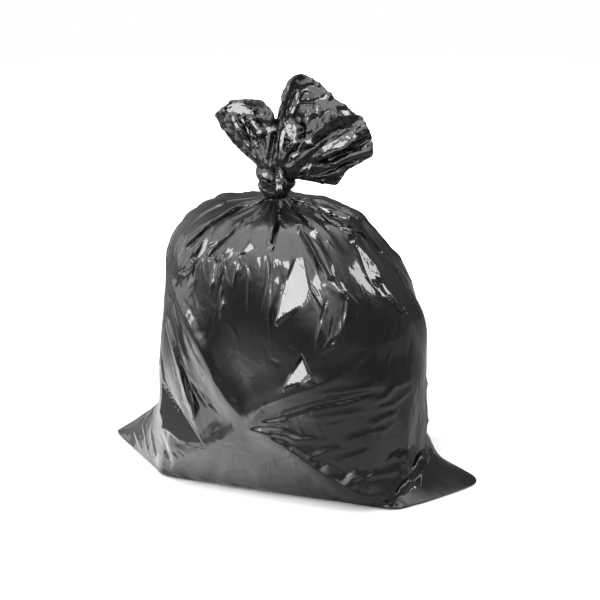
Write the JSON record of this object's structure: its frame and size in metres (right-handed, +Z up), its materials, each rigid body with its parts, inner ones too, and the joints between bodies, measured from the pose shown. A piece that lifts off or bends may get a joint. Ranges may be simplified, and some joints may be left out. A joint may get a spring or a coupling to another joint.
{
  "type": "filled tied bin bag",
  "caption": "Filled black bin bag standing on its squared base, with flat weld flaps, folds gathered at the neck, a knot and a fanned-out mouth.",
  "frame": {"origin": "middle of the squared base, on the floor", "axes": "+Z up, +X along the bottom weld towards the blunt flap, -Y towards the front"},
  "size_m": [0.5799, 0.3338, 0.581],
  "materials": {
    "film": "thin glossy black polyethylene film, creased and crumpled"
  },
  "bodies": {
    "root": {"bin_bag": "film"}
  },
  "joints": []
}
